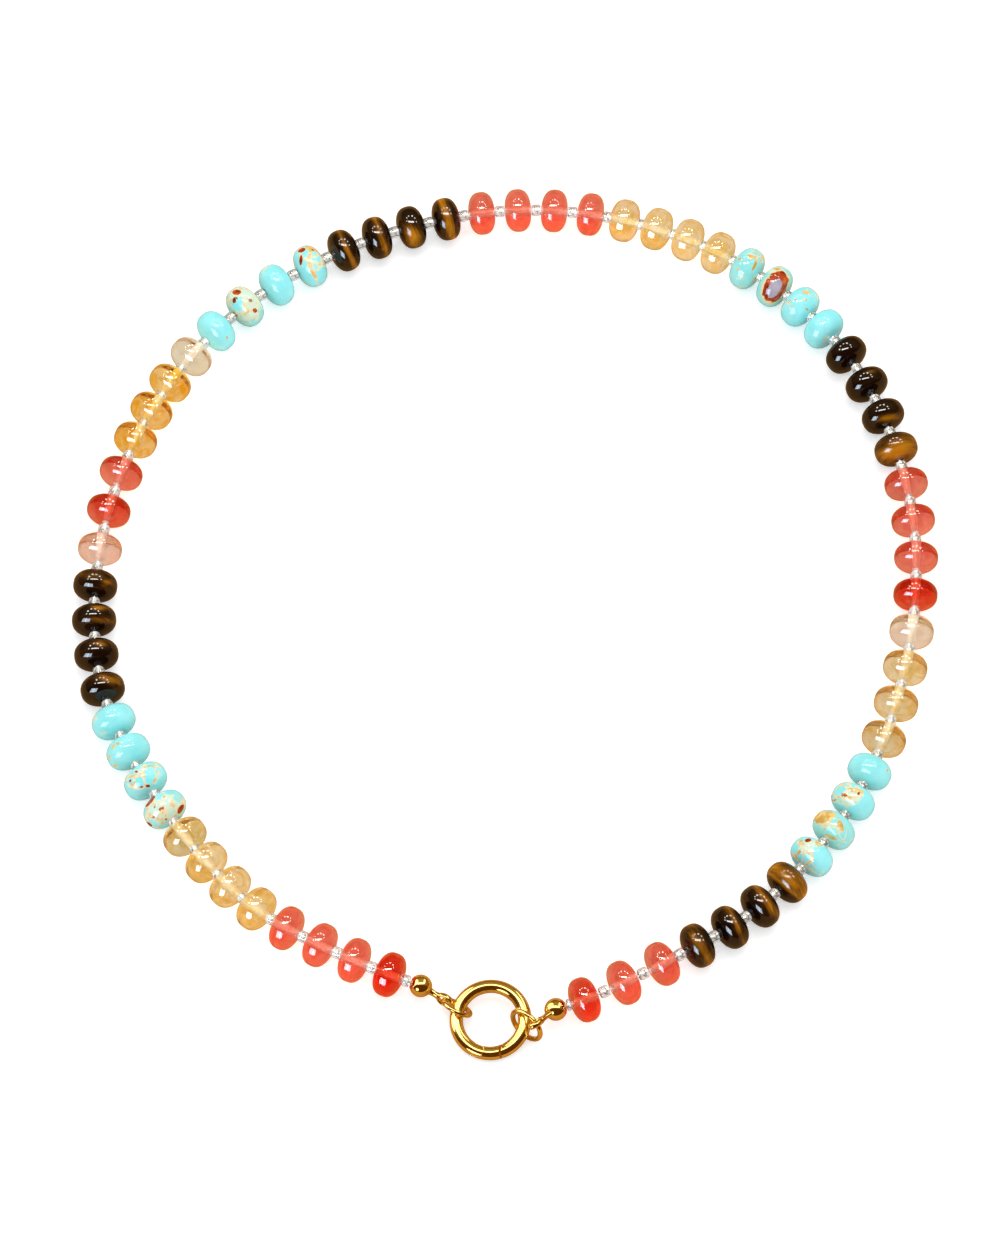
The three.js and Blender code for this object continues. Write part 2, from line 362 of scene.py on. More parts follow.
def bead_frame(bead):
    """A bead's place, level and swayed a little from the thread's direction."""
    direction = thread_direction(bead["at"])
    direction.z = 0
    sway = math.radians(BEAD_SWAY) * math.sin(SWAY_STEP * (bead["number"] - 1))
    direction = Matrix.Rotation(sway, 3, "Z") @ direction
    position = thread_point(bead["at"])
    position.z = AXIS_HEIGHT
    return frame_along(direction, position)


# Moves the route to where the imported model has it.
LOW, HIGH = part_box("red_bead_1")
SHIFT = (LOW + HIGH) / 2 / MM - bead_frame(BEADS[0]).translation
SHIFT.z = 0
PLACE = Matrix.Translation(SHIFT)


# ---- Camera, floor and light ----

def make_camera():
    tilt = math.radians(CAMERA_TILT)
    aim = Vector((SHIFT.x, SHIFT.y, AXIS_HEIGHT))
    camera = add_object("camera", bpy.data.cameras.new("camera"))
    camera.location = (aim + CAMERA_DISTANCE * Vector((0, -math.sin(tilt), math.cos(tilt)))) * MM
    camera.rotation_euler = (tilt, 0, 0)
    camera.data.sensor_width = CAMERA_SENSOR
    camera.data.lens = CAMERA_LENS
    camera.data.clip_start = 0.05
    bpy.context.scene.camera = camera


def make_floor():
    """Plain pale paper, a little darker through the stones and warm where the gold mirrors it."""
    mesh = bpy.data.meshes.new("floor")
    size, drop = 4.0, -0.00002
    corners = [(-size, -size, drop), (size, -size, drop), (size, size, drop), (-size, size, drop)]
    mesh.from_pydata(corners, [], [(0, 1, 2, 3)])
    made = material("pale_floor")
    rays = made.add("LightPath").outputs
    mirrored = made.math("SUBTRACT", rays["Is Glossy Ray"], rays["Is Transmission Ray"], clamp=True)
    grain = made.noise(made.add("TexCoord").outputs["Object"], 900.0)
    paper = made.ramp(grain, (0.3, (0.85, 0.85, 0.85)), (0.7, (0.88, 0.88, 0.88)))
    paper = made.mix(rays["Is Transmission Ray"], paper, (0.83, 0.83, 0.82))
    made.look({
        "Base Color": made.mix(mirrored, paper, (0.52, 0.27, 0.09)),
        "Emission Color": (1.0, 1.0, 1.0),
        "Emission Strength": made.math("MULTIPLY", rays["Is Camera Ray"], 0.4),
        "Roughness": 0.9, "Specular IOR Level": 0.0,
    })
    mesh.materials.append(made.owner)
    floor = add_object("floor", mesh)


def area_light(name, direction, distance, width, height, radiance, colour, rounded=False):
    """An area light that faces the necklace. radiance is how bright its face looks."""
    light = bpy.data.lights.new(name, "AREA")
    light.shape = "ELLIPSE" if rounded else "RECTANGLE"
    light.size = width
    light.size_y = height
    area = width * height * (math.pi / 4 if rounded else 1)
    light.energy = radiance * area * math.pi
    light.color = colour
    lamp = add_object(name, light)
    direction = Vector(direction).normalized()
    y = direction.cross(Vector((1, 0, 0))).normalized()
    turn = Matrix((y.cross(direction), y, direction)).transposed().to_4x4()
    lamp.matrix_world = Matrix.Translation(direction * distance) @ turn
    lamp.visible_camera = False
    return lamp


def make_lights():
    """A soft overhead light, and lights that only show in polished things."""
    soft = area_light("softbox", (0.1, 0.25, 1.0), 1.7, 1.3, 1.0, 1.6, (1.0, 1.0, 1.0))
    soft.visible_glossy = False
    soft.visible_transmission = False
    bar = Vector((-0.08, 0.03, 1.0)).normalized()
    side = Vector((1, 0, 0))
    above = bar.cross(side)
    sky, lamplight = (0.65, 0.83, 1.0), (1.0, 0.93, 0.80)
    for_stones = [
        area_light("window_left", (-0.64, -0.70, 0.33), 1.8, 0.62, 1.0, 14.0, sky),
        area_light("window_right", (-0.40, -0.85, 0.35), 1.8, 0.62, 1.0, 14.0, sky),
        area_light("bar", bar, 1.6, 1.1, 0.25, 24.0, (1.0, 0.98, 0.93)),
    ]
    # An arch of lamps over the bar.
    places = ((-0.64, 0.08), (-0.50, 0.44), (-0.18, 0.66), (0.16, 0.66), (0.48, 0.46), (0.66, 0.10))
    for i, (across, up) in enumerate(places):
        direction = bar + side * across + above * up
        for_stones.append(
            area_light(f"lamp_{i + 1}", direction, 1.7, 0.23, 0.23, 20.0, lamplight, True)
        )
    for_gold = [
        area_light("gold_left", (-0.80, 0.30, 0.48), 1.8, 2.3, 1.8, 1.65, (0.97, 0.98, 1.0), True),
        area_light("gold_right", (0.58, 0.42, 0.72), 1.8, 0.6, 1.8, 1.45, (0.98, 0.99, 1.0), True),
        area_light("gold_bar", bar, 1.6, 3.0, 0.55, 2.4, (1.0, 1.0, 1.0), True),
        area_light(
            "gold_window", (-0.53, -0.78, 0.34), 1.8, 0.8, 0.8, 2.6, (0.97, 0.98, 1.0), True
        ),
    ]
    for lamp in for_stones + for_gold:
        lamp.visible_diffuse = False
        lamp.visible_transmission = False
    return for_stones, for_gold


def share_lights(for_stones, for_gold, names):
    """The pieces named have lights of their own, and those of the stones don't show in them."""
    for lamps, state in ((for_stones, "EXCLUDE"), (for_gold, "INCLUDE")):
        group = bpy.data.collections.new(f"gold_{state.lower()}")
        for name in names:
            group.objects.link(bpy.data.objects[name])
        for entry in group.collection_objects:
            entry.light_linking.link_state = state
        for lamp in lamps:
            lamp.light_linking.receiver_collection = group


def make_world():
    """A white room. Polished things mirror it as a darker one, dark low down and in front."""
    world = bpy.data.worlds.new("studio")
    bpy.context.scene.world = world
    made = Nodes(world)
    place = made.add("SeparateXYZ", {0: made.add("TexCoord").outputs["Generated"]})
    room = made.ramp(
        place.outputs["Z"],
        (0.0, (0.28, 0.14, 0.03)), (0.08, (0.24, 0.105, 0.014)), (0.32, (0.24, 0.110, 0.016)),
        (0.50, (0.29, 0.16, 0.05)), (0.78, (0.34, 0.25, 0.13)), (1.0, (0.36, 0.27, 0.15)),
    )
    room = made.mix(made.step(place.outputs["Y"], -0.35, 0.05), (0.09, 0.028, 0.004), room)
    rays = made.add("LightPath").outputs
    refracted = made.math("MULTIPLY", rays["Is Transmission Ray"], 0.66)
    mirrored = made.math("SUBTRACT", rays["Is Glossy Ray"], refracted)
    seen = made.mix(mirrored, (1.0, 1.0, 1.0), room)
    made.feed(made.tree.nodes["Background"], {"Color": seen})


# ---- Materials ----

class Nodes:
    """Short calls for building the nodes of a material or world."""

    def __init__(self, owner):
        owner.use_nodes = True
        self.owner = owner
        self.tree = owner.node_tree
        self.shader = self.tree.nodes.get("Principled BSDF")

    def add(self, kind, inputs=None, **values):
        """A new node. Its inputs are numbers, colours or the outputs of other nodes."""
        node = self.tree.nodes.new(f"ShaderNode{kind}")
        for key, value in values.items():
            setattr(node, key, value)
        self.feed(node, inputs or {})
        return node

    def feed(self, node, inputs):
        for key, value in inputs.items():
            socket = node.inputs[key]
            if isinstance(value, bpy.types.NodeSocket):
                self.tree.links.new(value, socket)
            elif isinstance(value, tuple):
                socket.default_value = (*value, 1)[:len(socket.default_value)]
            else:
                socket.default_value = value

    def look(self, inputs):
        """Sets the shader's own sockets, or links outputs to them."""
        self.feed(self.shader, inputs)

    def place(self):
        """A vertex's place in its own stone, in millimetres."""
        return self.add("Attribute", attribute_name="stone").outputs["Vector"]

    def parts(self, name):
        """The red, green, blue and alpha parts of a colour attribute."""
        attribute = self.add("Attribute", attribute_name=name)
        split = self.add("SeparateColor", {0: attribute.outputs["Color"]})
        return *split.outputs, attribute.outputs["Alpha"]

    def scaled(self, vector, scale):
        return self.add("VectorMath", {0: vector, 1: scale}, operation="MULTIPLY").outputs[0]

    def noise(self, vector, scale, detail=3.0, distortion=0.0, roughness=0.5, output="Fac"):
        return self.add("TexNoise", {
            "Vector": vector, "Scale": scale, "Detail": detail, "Distortion": distortion,
            "Roughness": roughness,
        }).outputs[output]

    def voronoi(self, vector, scale, feature):
        return self.add("TexVoronoi", {"Vector": vector, "Scale": scale}, feature=feature)

    def ramp(self, value, *stops):
        node = self.add("ValToRGB", {0: value})
        elements = node.color_ramp.elements
        while len(elements) < len(stops):
            elements.new(0.5)
        for element, (at, colour) in zip(elements, stops):
            element.position = at
            element.color = (*colour, 1)
        return node.outputs["Color"]

    def math(self, operation, a, b, clamp=False):
        return self.add("Math", {0: a, 1: b}, operation=operation, use_clamp=clamp).outputs[0]

    def mix(self, amount, a, b):
        node = self.add("Mix", {"Factor": amount, "A": a, "B": b}, data_type="RGBA")
        return node.outputs["Result"]

    def fit(self, value, start, end, low=0.0, high=1.0, kind="LINEAR"):
        """Takes start to end over to low to high."""
        return self.add("MapRange", {
            "Value": value, "From Min": start, "From Max": end, "To Min": low, "To Max": high,
        }, interpolation_type=kind).outputs[0]

    def step(self, value, low, high):
        return self.fit(value, low, high, kind="SMOOTHSTEP")

    def bump(self, height, strength, distance):
        bump = self.add("Bump", {"Height": height, "Strength": strength, "Distance": distance})
        self.look({"Normal": bump.outputs[0]})

    def let_light_through(self):
        """Lamps reach what is behind the glass."""
        shadow = self.add("LightPath").outputs["Is Shadow Ray"]
        clear = self.add("BsdfTransparent", {"Color": (0.95, 0.95, 0.95)})
        mix = self.add("MixShader", {0: shadow, 1: self.shader.outputs[0], 2: clear.outputs[0]})
        self.feed(self.tree.nodes["Material Output"], {"Surface": mix.outputs[0]})

    def absorb(self, colour, density):
        volume = self.add("VolumeAbsorption", {"Color": colour, "Density": density})
        self.feed(self.tree.nodes["Material Output"], {"Volume": volume.outputs[0]})


def material(name):
    return Nodes(bpy.data.materials.new(name))


def clear_stone(name, depth, density, bend, light, deep):
    """A clear polished stone with clouds. light and deep tint its surface, and depth its inside."""
    made = material(name)
    place = made.place()
    clouds = made.noise(place, 0.36, detail=4.0, distortion=1.8)
    middle = tuple((a + b) / 2 for a, b in zip(light, deep))
    made.look({
        "Base Color": made.ramp(clouds, (0.40, light), (0.52, middle), (0.60, deep)),
        "Roughness": made.fit(made.noise(place, 1.3, detail=2.0), 0.0, 1.0, 0.01, 0.05),
        "Transmission Weight": 1.0, "IOR": bend, "Coat Weight": 0.8, "Coat Roughness": 0.03,
    })
    made.let_light_through()
    made.absorb(depth, density)
    return made.owner


def drill_wall(name, colour):
    """The ground wall of a drill hole, seen through the stone, with painted reflections as streaks
    along it.
    """
    made = material(name)
    # Painted reflections: dark and pale streaks along the hole stand in for the glints of light in
    # it; the middle colour is the wall's own.
    streaks = made.noise(made.scaled(made.place(), (5.0, 0.2, 5.0)), 1.0, detail=1.0)
    deep = tuple(c * c for c in colour)
    pale = tuple(0.6 + 0.4 * c for c in colour)
    made.look({
        "Base Color": made.ramp(
            streaks, (0.38, deep), (0.46, colour), (0.53, colour), (0.57, pale)
        ),
        "Roughness": 0.3, "Transmission Weight": 0.2, "IOR": 1.54,
    })
    made.let_light_through()
    return made.owner


def turquoise_stone():
    """Pale blue-green with cream and tan seams, and red-brown patches and specks."""
    made = material("turquoise")
    place = made.place()
    veined, specked, greened, celled = made.parts("tone")
    cream_patch, rust_patch, lilac_patch, tan_patch = made.parts("patches")
    warp = {0: made.noise(place, 0.5, output="Color"), 1: (2.0, 2.0, 2.0), 2: place}
    warped = made.add("VectorMath", warp, operation="MULTIPLY_ADD").outputs[0]
    rough = made.math("MULTIPLY", made.math("SUBTRACT", made.noise(place, 0.9), 0.5), 0.9)
    faint = made.math("MULTIPLY", rough, 0.35)

    # Blue, greener in some beads.
    clouds = made.noise(place, 0.3, detail=2.0)
    blue = made.ramp(clouds, (0.3, (0.25, 0.80, 0.83)), (0.7, (0.36, 0.90, 0.94)))
    base = made.mix(greened, blue, (0.36, 0.68, 0.58))
    # Cream patches, with some cells of blue in them.
    cream = made.ramp(
        made.noise(place, 0.8, detail=4.0),
        (0.36, (0.78, 0.50, 0.16)), (0.48, (0.92, 0.74, 0.42)), (0.62, (0.72, 0.84, 0.66)),
    )
    region = made.step(made.math("ADD", cream_patch, rough), 0.42, 0.52)
    pale = made.mix(0.45, cream, (0.66, 0.90, 0.78))
    base = made.mix(made.math("MULTIPLY", region, 0.8), base, pale)
    seams = made.voronoi(warped, 0.40, "DISTANCE_TO_EDGE").outputs["Distance"]
    cell = made.add("SeparateColor", {0: made.voronoi(warped, 0.40, "F1").outputs["Color"]})
    kept_blue = made.step(made.math("ADD", cell.outputs[0], celled), 1.0, 1.04)
    base = made.mix(made.math("MULTIPLY", region, kept_blue), base, blue)
    # Seams between the cells.
    near = made.math("MAXIMUM", region, made.step(made.noise(place, 0.2, detail=1.0), 0.5, 0.6))
    reach = made.math("MULTIPLY", made.math("MULTIPLY", veined, near), 0.15)
    seam = made.step(made.math("SUBTRACT", reach, seams), 0.0, 0.035)
    base = made.mix(seam, base, cream)
    # Red-brown specks on the seams and patches.
    rust = made.ramp(
        made.noise(place, 0.8, detail=4.0),
        (0.34, (0.20, 0.018, 0.006)), (0.52, (0.46, 0.055, 0.012)), (0.68, (0.62, 0.17, 0.04)),
    )
    specks = made.voronoi(warped, 0.75, "F1").outputs["Distance"]
    size = made.math("MULTIPLY", specked, 0.45)
    speck = made.step(made.math("SUBTRACT", size, specks), 0.0, 0.05)
    speck = made.math("MULTIPLY", speck, made.math("MAXIMUM", seam, region))
    some = made.step(cell.outputs[1], 0.4, 0.45)
    base = made.mix(made.math("MULTIPLY", speck, some), base, rust)
    # The marks of the table: tan, then red-brown with a pale rim, then lilac.
    tan_edge = made.math("ADD", tan_patch, made.math("MULTIPLY", rough, 0.8))
    tan_stops = (0.38, (0.62, 0.36, 0.08)), (0.55, (0.86, 0.60, 0.22))
    tan = made.ramp(made.noise(place, 0.7), *tan_stops)
    base = made.mix(made.step(tan_edge, 0.46, 0.50), base, tan)
    rust_edge = made.math("ADD", rust_patch, faint)
    base = made.mix(made.step(rust_edge, 0.40, 0.43), base, (0.84, 0.70, 0.38))
    base = made.mix(made.step(rust_edge, 0.47, 0.51), base, rust)
    lilac = made.ramp(clouds, (0.3, (0.33, 0.28, 0.37)), (0.7, (0.48, 0.43, 0.52)))
    base = made.mix(made.step(made.math("ADD", lilac_patch, faint), 0.47, 0.50), base, lilac)
    made.look({
        "Base Color": base, "Roughness": made.fit(seam, 0.0, 1.0, 0.07, 0.16), "IOR": 1.45,
        "Subsurface Weight": 0.12, "Subsurface Scale": 0.0008,
        "Subsurface Radius": (0.3, 0.6, 0.6),
    })
    made.bump(seam, 0.15, 0.00003)
    return made.owner


def tigers_eye_stone():
    """Near-black brown with silky golden bands."""
    made = material("tigers_eye")
    place = made.place()
    golden, band = made.parts("tone")[0], made.parts("patches")[0]
    waves = made.noise(made.scaled(place, (0.10, 0.30, 0.18)), 1.0, detail=2.0, distortion=0.8)
    fibres = made.noise(made.scaled(place, (0.25, 3.4, 0.5)), 1.0)
    value = made.math("ADD", made.math("MULTIPLY", band, 0.62), waves)
    value = made.math("ADD", value, made.math("MULTIPLY", made.math("SUBTRACT", fibres, 0.5), 0.5))
    value = made.math("SUBTRACT", made.math("ADD", value, golden), 0.3)
    silk = made.ramp(
        value,
        (0.20, (0.0070, 0.0024, 0.0012)), (0.42, (0.022, 0.0075, 0.0018)),
        (0.58, (0.070, 0.024, 0.002)), (0.76, (0.23, 0.080, 0.001)), (1.0, (0.50, 0.18, 0.001)),
    )
    rough = made.fit(value, 0.4, 0.8, 0.05, 0.16)
    made.look({"Base Color": silk, "Roughness": rough, "IOR": 1.5})
    return made.owner


def clear_glass():
    """Small clear glass beads with faint drawn streaks, and painted shade on their edges where they
    turn from view.
    """
    made = material("clear_glass")
    streaks = made.noise(made.scaled(made.place(), (3.0, 0.5, 3.0)), 1.0, detail=2.0)
    clear = made.ramp(streaks, (0.35, (0.86, 0.86, 0.84)), (0.65, (0.97, 0.97, 0.96)))
    # Painted shade: edges that turn from view are darkened, standing in for dark surroundings seen
    # through the glass.
    edge = made.step(made.add("LayerWeight").outputs["Facing"], 0.45, 0.85)
    colour = made.mix(edge, clear, (0.20, 0.17, 0.12))
    made.look({"Base Color": colour, "Transmission Weight": 1.0, "Roughness": 0.04, "IOR": 1.52})
    made.let_light_through()
    return made.owner


def silver_lining():
    """The lined hole of a glass bead."""
    made = material("silver_lining")
    colour = made.ramp(
        made.noise(made.place(), 1.6),
        (0.38, (0.24, 0.22, 0.18)), (0.46, (0.72, 0.70, 0.66)), (0.54, (0.97, 0.97, 0.96)),
    )
    made.look({"Base Color": colour, "Metallic": 0.55, "Roughness": 0.2})
    return made.owner


def thread_material():
    """Pale two-ply thread."""
    made = material("pale_thread")
    fibres = made.noise(made.add("TexCoord").outputs["Object"], 3000.0)
    colour = made.ramp(fibres, (0.3, (0.70, 0.70, 0.69)), (0.7, (0.93, 0.93, 0.92)))
    made.look({"Base Color": colour, "Roughness": 0.55, "Sheen Weight": 0.3})
    made.bump(fibres, 0.3, 0.00003)
    return made.owner


def polished_gold():
    """Polished gold plate with faint clouding and hair-fine wear."""
    made = material("polished_gold")
    place = made.add("TexCoord").outputs["Object"]
    clouds = made.noise(place, 420.0)
    wear = made.noise(place, 2600.0, detail=4.0, roughness=0.7)
    colour = made.ramp(clouds, (0.3, (0.96, 0.73, 0.21)), (0.7, (0.99, 0.79, 0.27)))
    rough = made.fit(wear, 0.3, 0.75, 0.05, 0.11)
    made.look({"Base Color": colour, "Roughness": rough, "Metallic": 1.0})
    made.bump(wear, 0.04, 0.00001)
    return made.owner


# ---- Beads ----

def rondelle(width, length):
    """A drilled bead's closed outline about Y: round outside, with a small lip at the hole."""
    half_width, half_length, hole = width / 2, length / 2, HOLE_WIDTH / 2
    start = math.acos(((hole + HOLE_LIP) / half_width) ** (BEAD_ROUNDNESS / 2))
    outer = []
    for i in range(BEAD_ROWS + 1):
        angle = -start + 2 * start * i / BEAD_ROWS
        radius = half_width * math.cos(angle) ** (2 / BEAD_ROUNDNESS)
        y = half_length * abs(math.sin(angle)) ** (2 / BEAD_ROUNDNESS)
        outer.append((radius, math.copysign(y, angle)))
    end = outer[-1][1]
    lips = [(hole + HOLE_LIP * 0.3, end - HOLE_LIP * 0.25), (hole, end - HOLE_LIP)]
    inner = [(hole, y) for y in (end / 3, -end / 3)]
    return outer + lips + inner + [(r, -y) for r, y in reversed(lips)]


def add_attribute(mesh, name, kind, values):
    attribute = mesh.attributes.new(name, kind, "POINT")
    field = {"FLOAT_VECTOR": "vector", "FLOAT_COLOR": "color"}[kind]
    attribute.data.foreach_set(field, [part for value in values for part in value])


def nearest(frames, at):
    return min(range(len(frames)), key=lambda i: (at - frames[i].translation).length_squared)


def paint_stone(piece, frames, turns, offset=Vector()):
    """Writes each vertex's place in its own stone, in millimetres."""
    places = []
    for vertex in piece.data.vertices:
        at = vertex.co / MM
        i = nearest(frames, at)
        places.append(turns[i] @ (at - frames[i].translation) + offset)
    add_attribute(piece.data, "stone", "FLOAT_VECTOR", places)


def paint_marks(piece, centre, tone, marks):
    """Writes a stone's tone, and how near each vertex is to its marks as the camera sees them."""
    tilt = math.radians(CAMERA_TILT)
    values = []
    for vertex in piece.data.vertices:
        away = vertex.co / MM - centre
        x, y = away.x, away.y * math.cos(tilt) + away.z * math.sin(tilt)
        depth = away.z * math.cos(tilt) - away.y * math.sin(tilt)
        value = [0.0, 0.0, 0.0, 0.0]
        for kind, mark_x, mark_y, long, wide, angle in marks:
            cos, sin = math.cos(math.radians(angle)), math.sin(math.radians(angle))
            along = ((x - mark_x) * cos + (y - mark_y) * sin) / long
            across = ((y - mark_y) * cos - (x - mark_x) * sin) / wide
            near = math.exp(HALF_AT_EDGE * (along * along + across * across))
            if long < ALL_ROUND and depth < 0:
                near *= math.exp(-depth * depth)
            value[kind] = max(value[kind], near)
        values.append(value)
    add_attribute(piece.data, "tone", "FLOAT_COLOR", [tone] * len(values))
    add_attribute(piece.data, "patches", "FLOAT_COLOR", values)


# The marks of the opaque beads: kind, x, y, half length, half width, angle. Lengths are in
# millimetres from the bead's middle, x to the right and y up as the camera sees it.
CREAM, RUST, LILAC, TAN, GOLDEN = 0, 1, 2, 3, 0
ALL_ROUND = 99  # the half length of a band that goes right round its bead
HALF_AT_EDGE = -0.69  # a mark has faded to a half at its edge
# Turquoise: how much it is veined, specked, greened and blue between its seams, then its marks.
TURQUOISE = {
    9: (0.7, 0.8, 0.2, 0.4, [
        (CREAM, 0.0, 0.2, 2.6, 2.4, 60), (RUST, -2.6, 1.6, 1.5, 0.5, 50),
        (RUST, 2.9, 0.1, 0.9, 0.4, 60), (RUST, -2.7, -2.6, 0.6, 0.3, -30),
    ]),
    10: (0.7, 0.7, 0.2, 0.4, [(CREAM, -0.4, 0.6, 2.8, 1.8, 20), (RUST, 0.6, -0.8, 0.4, 0.25, 0)]),
    11: (0.05, 0.0, 0.15, 0.6, [
        (TAN, -2.5, 1.0, 0.5, 0.28, 60), (TAN, -1.7, 1.5, 0.35, 0.25, 0),
        (TAN, -3.3, -0.9, 0.35, 0.3, 80), (TAN, -2.2, -2.4, 0.45, 0.3, 0),
    ]),
    12: (0.05, 0.0, 0.15, 0.6, [
        (CREAM, -3.2, 0.3, 0.8, 0.5, 75), (CREAM, -1.6, -2.0, 0.6, 0.25, 0),
        (CREAM, -1.8, -2.6, 0.5, 0.4, 0),
    ]),
    24: (0.05, 0.0, 0.05, 0.6, [(TAN, 2.2, -1.4, 0.35, 0.2, -60)]),
    25: (0.4, 0.4, 0.5, 0.1, [
        (CREAM, 0.0, 0.7, 3.6, 3.0, -60), (RUST, -1.4, 2.5, 0.8, 0.5, 0),
        (RUST, -1.8, 1.0, 0.6, 0.35, 80), (RUST, 2.0, -0.9, 0.42, 0.42, 0),
        (RUST, 1.2, 0.9, 0.35, 0.3, 0),
    ]),
    26: (0.12, 0.0, 0.05, 0.6, [(CREAM, -2.1, 2.5, 1.2, 0.7, 50)]),
    27: (0.95, 0.45, 0.1, 0.75, [
        (CREAM, 0.0, 2.2, 2.6, 1.5, -20), (CREAM, 0.4, -0.6, 2.6, 0.5, -70),
        (RUST, -1.5, 2.8, 0.8, 0.4, 20), (TAN, 0.3, 3.0, 1.1, 0.5, -20),
        (RUST, -1.6, 0.9, 0.9, 0.3, 85), (RUST, 0.6, 2.8, 0.4, 0.15, -40),
    ]),
    40: (0.5, 0.2, 0.35, 0.5, [
        (CREAM, 1.0, 1.8, 1.4, 0.5, -40), (CREAM, -1.4, -1.6, 1.6, 0.45, 60),
        (TAN, 1.3, 0.4, 1.3, 0.28, 65), (TAN, 0.6, 2.0, 1.0, 0.28, -20),
        (TAN, -1.5, 1.5, 0.4, 0.25, 20), (TAN, -1.8, -0.3, 0.35, 0.25, 60),
    ]),
    41: (0.3, 0.1, 0.5, 0.5, [
        (CREAM, 0.4, 3.0, 1.8, 0.7, 0), (TAN, 0.3, 3.1, 0.8, 0.25, 0),
        (RUST, 0.0, -0.2, 3.0, 2.0, 58), (LILAC, -0.2, -0.5, 1.9, 1.05, 60),
    ]),
    42: (0.4, 0.4, 0.05, 0.6, [
        (CREAM, 0.6, 2.6, 1.4, 0.7, -20), (TAN, 0.9, 2.5, 0.8, 0.3, -10),
        (TAN, 0.7, 1.1, 0.45, 0.22, -20), (TAN, -1.0, 1.2, 0.3, 0.25, 0),
        (TAN, 1.0, -0.6, 0.4, 0.22, -40),
    ]),
    43: (0.05, 0.0, 0.05, 0.6, [(CREAM, 0.3, -1.7, 1.3, 0.35, 65)]),
    56: (0.05, 0.0, 0.2, 0.6, [(CREAM, -2.6, 2.2, 0.7, 0.5, 20), (TAN, 3.0, 0.2, 0.3, 0.28, 0)]),
    57: (0.7, 0.7, 0.15, 0.5, [
        (CREAM, -0.6, 0.8, 2.2, 1.5, 30), (TAN, 0.4, 2.0, 1.6, 0.35, -10),
        (RUST, -1.6, 1.2, 0.4, 0.3, 0), (RUST, 0.8, 1.5, 0.35, 0.25, 0),
    ]),
    58: (0.3, 0.1, 0.5, 0.2, [
        (CREAM, -0.9, 1.0, 2.2, 1.2, -25), (TAN, -1.9, 2.3, 2.0, 0.9, 15),
        (TAN, 1.0, 0.9, 1.1, 0.4, -65), (TAN, -0.6, -1.2, 1.2, 0.3, -25),
    ]),
    59: (0.5, 0.2, 0.1, 0.5, [
        (CREAM, -0.4, 2.0, 2.2, 0.8, 5), (RUST, -0.8, 3.0, 0.6, 0.28, 15),
        (TAN, -2.1, 2.6, 0.6, 0.25, 50), (TAN, 0.9, 2.3, 0.5, 0.25, -40),
        (TAN, -2.4, 0.8, 0.5, 0.22, 65),
    ]),
}
# Tiger's eye: how golden it is, the direction of its bands in degrees, then its golden bands.
TIGERS_EYE = {
    13: (0.0, -12, [(GOLDEN, 1.6, 1.9, 2.6, 0.8, -12)]),
    14: (0.02, -5, [(GOLDEN, 1.2, 2.0, 2.2, 0.7, -5)]),
    15: (0.02, -10, [(GOLDEN, 1.4, 0.0, 2.4, 0.7, -10), (GOLDEN, 1.0, 2.2, 1.6, 0.5, 0)]),
    16: (0.02, -8, [(GOLDEN, 0.2, 2.0, 2.8, 0.7, -5), (GOLDEN, 2.4, 0.8, 1.2, 0.8, -10)]),
    28: (-0.02, -64, [(GOLDEN, 0.9, -0.4, ALL_ROUND, 0.55, -64)]),
    29: (0.0, -70, [(GOLDEN, 0.8, 0.2, ALL_ROUND, 0.7, -70)]),
    30: (0.0, -60, [(GOLDEN, 0.6, -1.8, 2.2, 1.5, -60)]),
    31: (0.03, -72, [(GOLDEN, 0.2, -0.2, ALL_ROUND, 0.9, -72)]),
    44: (-0.08, 30, []),
    45: (-0.05, 25, [(GOLDEN, 0.6, 2.2, 1.2, 0.4, 10)]),
    46: (0.02, 20, [(GOLDEN, 0.6, -0.6, 2.4, 0.8, 15)]),
    47: (0.19, 15, [(GOLDEN, 0.3, 0.1, 4.0, 1.6, 15)]),
    60: (0.03, -40, [
        (GOLDEN, 0.2, 0.8, ALL_ROUND, 1.7, -40), (GOLDEN, 2.0, -2.6, ALL_ROUND, 0.5, -40),
    ]),
    61: (-0.05, -55, [(GOLDEN, 1.2, 0.8, ALL_ROUND, 0.9, -55)]),
    62: (-0.07, -64, [(GOLDEN, 1.4, -0.1, ALL_ROUND, 0.75, -64)]),
    63: (-0.03, -60, [(GOLDEN, -0.6, 1.8, ALL_ROUND, 1.1, -60)]),
}
# Clear stones: the colour and density of the inside, how much it bends light, and the surface's
# two tints.
CLEAR_STONES = {
    "red": ((0.90, 0.18, 0.0), 128, 1.38, (0.94, 0.51, 0.42), (0.88, 0.34, 0.24)),
    "red_deep": ((0.905, 0.19, 0.0), 178, 1.38, (0.92, 0.34, 0.23), (0.85, 0.20, 0.11)),
    "red_deepest": ((0.91, 0.17, 0.0), 250, 1.38, (0.92, 0.25, 0.14), (0.84, 0.13, 0.05)),
    "red_pale": ((0.86, 0.32, 0.0), 45, 1.42, (0.98, 0.87, 0.76), (0.95, 0.65, 0.52)),
    "citrine": ((0.78, 0.50, 0.03), 64, 1.46, (0.96, 0.91, 0.80), (0.87, 0.61, 0.18)),
    "citrine_amber": ((0.877, 0.62, 0.02), 94, 1.46, (0.98, 0.88, 0.62), (0.89, 0.49, 0.02)),
    "citrine_pale": ((0.68, 0.42, 0.10), 46, 1.46, (0.98, 0.92, 0.84), (0.93, 0.80, 0.63)),
}
DRILL_WALLS = {"red": (0.96, 0.82, 0.78), "citrine": (0.97, 0.93, 0.84)}
# The clear beads that are deeper or paler than the rest.
ODD_BEADS = {
    1: "red_deepest", 17: "red_pale", 18: "red_deep", 20: "citrine_amber", 21: "citrine_amber",
    22: "citrine_amber", 23: "citrine_pale", 51: "red_deepest", 52: "citrine_pale", 66: "red_deep",
}


